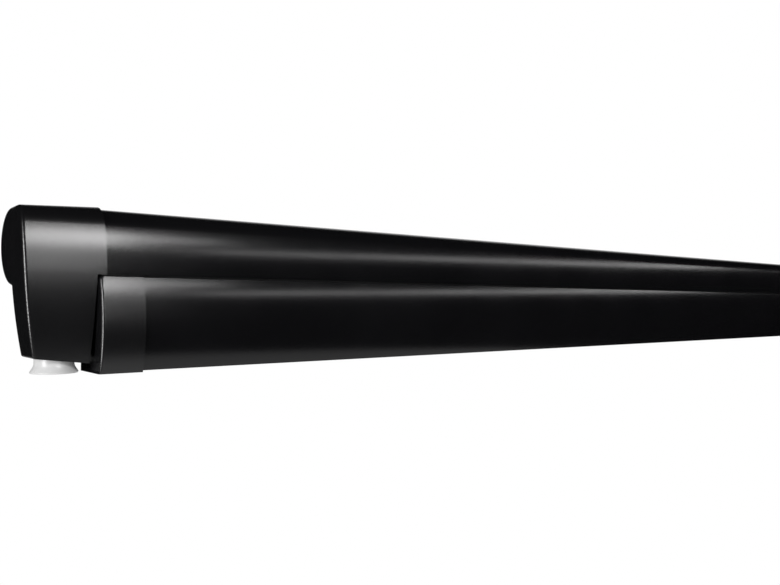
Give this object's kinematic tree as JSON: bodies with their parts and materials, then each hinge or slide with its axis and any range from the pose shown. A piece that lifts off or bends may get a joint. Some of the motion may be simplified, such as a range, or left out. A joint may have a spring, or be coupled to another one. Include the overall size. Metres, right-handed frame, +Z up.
{
  "type": "roll out awning",
  "caption": "Closed cassette awning for a camper van wall, with folding arms, cloth roller, worm gear for a hand crank and telescopic legs in the lead rail.",
  "frame": {"origin": "middle of the wall plane, at the middle wall bracket", "axes": "+X along the awning towards its right end seen from the front, +Y into the wall, +Z up; the front faces -Y"},
  "size_m": [2.6, 0.1025, 0.145],
  "materials": {
    "black_profile": "satin black powder coat",
    "black_plastic": "fine satin moulded",
    "black_arm": "satin powder coat",
    "cast_grey": "dark cast",
    "steel": "zinc plated",
    "wall_bracket_aluminium": "black anodised",
    "leg_aluminium": "satin anodised",
    "grey_plastic": "moulded",
    "foot_rubber": "matt",
    "seal_rubber": "matt",
    "cloth": "coated awning cloth",
    "roller_steel": "mill",
    "plug_plastic": "moulded",
    "bell_grey": "satin light grey"
  },
  "bodies": {
    "cassette": {"cassette_body": "black_profile", "hood_seal": "seal_rubber", "left_end_cap": "black_plastic", "right_end_cap": "black_plastic", "gearbox_housing": "black_plastic", "wall_brackets": "wall_bracket_aluminium", "bracket_screws": "steel", "shoulder_pins": "steel", "fabric_free": "cloth", "left_shoulder_bracket": "cast_grey", "right_shoulder_bracket": "cast_grey", "left_roller_bearing": "black_plastic", "right_roller_bearing": "black_plastic"},
    "roller": {"roller_tube": "roller_steel", "fabric_roll": "cloth", "roller_drive_plug": "plug_plastic", "roller_idler_plug": "plug_plastic", "worm_wheel": "plug_plastic"},
    "crank": {"worm_shaft": "steel", "crank_bell": "bell_grey"},
    "lead_rail": {"lead_rail_body": "black_profile", "fabric_keder": "cloth", "wrist_pins": "steel", "left_lead_rail_cap": "black_plastic", "right_lead_rail_cap": "black_plastic", "left_wrist_bracket": "cast_grey", "right_wrist_bracket": "cast_grey", "left_leg_bracket": "cast_grey", "right_leg_bracket": "cast_grey"},
    "left_upper_arm": {"left_upper_arm_tube": "black_arm", "left_shoulder_knuckle": "cast_grey", "left_elbow_fork": "cast_grey", "left_elbow_pin": "steel", "left_arm_spring": "steel"},
    "left_forearm": {"left_forearm_tube": "black_arm", "left_elbow_eye": "cast_grey", "left_wrist_knuckle": "cast_grey"},
    "left_leg": {"left_leg_head": "cast_grey", "left_leg_tube": "leg_aluminium", "left_leg_collar": "grey_plastic"},
    "left_lock_lever": {"left_leg_lock": "grey_plastic"},
    "left_leg_extension": {"left_leg_inner": "leg_aluminium", "left_foot_fork": "grey_plastic"},
    "left_foot_pad": {"left_foot": "foot_rubber"},
    "right_upper_arm": {"right_upper_arm_tube": "black_arm", "right_shoulder_knuckle": "cast_grey", "right_elbow_fork": "cast_grey", "right_elbow_pin": "steel", "right_arm_spring": "steel"},
    "right_forearm": {"right_forearm_tube": "black_arm", "right_elbow_eye": "cast_grey", "right_wrist_knuckle": "cast_grey"},
    "right_leg": {"right_leg_head": "cast_grey", "right_leg_tube": "leg_aluminium", "right_leg_collar": "grey_plastic"},
    "right_lock_lever": {"right_leg_lock": "grey_plastic"},
    "right_leg_extension": {"right_leg_inner": "leg_aluminium", "right_foot_fork": "grey_plastic"},
    "right_foot_pad": {"right_foot": "foot_rubber"}
  },
  "joints": [
    {"name": "left_shoulder", "type": "hinge", "parent": "cassette", "child": "left_upper_arm", "pos_m": [-1.205, -0.058, -0.017], "axis": [0, 0, -1], "range_deg": [0, 71]},
    {"name": "left_elbow", "type": "hinge", "parent": "left_upper_arm", "child": "left_forearm", "pos_m": [-0.145, -0.071, -0.017], "axis": [0, 0, 1], "range_deg": [0, 142]},
    {"name": "right_shoulder", "type": "hinge", "parent": "cassette", "child": "right_upper_arm", "pos_m": [1.205, -0.058, -0.017], "axis": [0, 0, 1], "range_deg": [0, 71]},
    {"name": "right_elbow", "type": "hinge", "parent": "right_upper_arm", "child": "right_forearm", "pos_m": [0.145, -0.071, -0.017], "axis": [0, 0, -1], "range_deg": [0, 142]},
    {"name": "left_wrist", "type": "hinge", "parent": "left_forearm", "child": "lead_rail", "pos_m": [-1.205, -0.084, -0.017], "axis": [0, 0, -1], "range_deg": [0, 71]},
    {"name": "roller_spin", "type": "hinge", "parent": "cassette", "child": "roller", "pos_m": [0, -0.0385, 0.036], "axis": [-1, 0, 0], "range_deg": [0, 4446]},
    {"name": "crank_spin", "type": "hinge", "parent": "cassette", "child": "crank", "pos_m": [-1.269, -0.062, 0], "axis": [0, 0, -1], "range_deg": [0, 44460]},
    {"name": "left_leg_fold", "type": "hinge", "parent": "lead_rail", "child": "left_leg", "pos_m": [-1.218, -0.081, -0.051], "axis": [0, 1, 0], "range_deg": [0, 92]},
    {"name": "left_leg_slide", "type": "slide", "parent": "left_leg", "child": "left_leg_extension", "axis": [1, 0, 0], "range_m": [0, 1]},
    {"name": "left_foot_turn", "type": "hinge", "parent": "left_leg_extension", "child": "left_foot_pad", "pos_m": [-0.001, -0.081, -0.051], "axis": [0, -1, 0], "range_deg": [0, 90]},
    {"name": "left_lock_turn", "type": "hinge", "parent": "left_leg", "child": "left_lock_lever", "pos_m": [-0.045, -0.081, -0.0666], "axis": [0, -1, 0], "range_deg": [0, 80]},
    {"name": "right_leg_fold", "type": "hinge", "parent": "lead_rail", "child": "right_leg", "pos_m": [1.218, -0.059, -0.051], "axis": [0, -1, 0], "range_deg": [0, 92]},
    {"name": "right_leg_slide", "type": "slide", "parent": "right_leg", "child": "right_leg_extension", "axis": [-1, 0, 0], "range_m": [0, 1]},
    {"name": "right_foot_turn", "type": "hinge", "parent": "right_leg_extension", "child": "right_foot_pad", "pos_m": [0.001, -0.059, -0.051], "axis": [0, 1, 0], "range_deg": [0, 90]},
    {"name": "right_lock_turn", "type": "hinge", "parent": "right_leg", "child": "right_lock_lever", "pos_m": [0.045, -0.059, -0.0666], "axis": [0, 1, 0], "range_deg": [0, 80]}
  ],
  "couplings": [
    {"joint": "left_elbow", "follows": "left_shoulder", "ratio": 2},
    {"joint": "left_wrist", "follows": "left_shoulder", "ratio": 1},
    {"joint": "right_shoulder", "follows": "left_shoulder", "ratio": 1},
    {"joint": "right_elbow", "follows": "left_shoulder", "ratio": 2},
    {"joint": "crank_spin", "follows": "roller_spin", "ratio": 10}
  ]
}
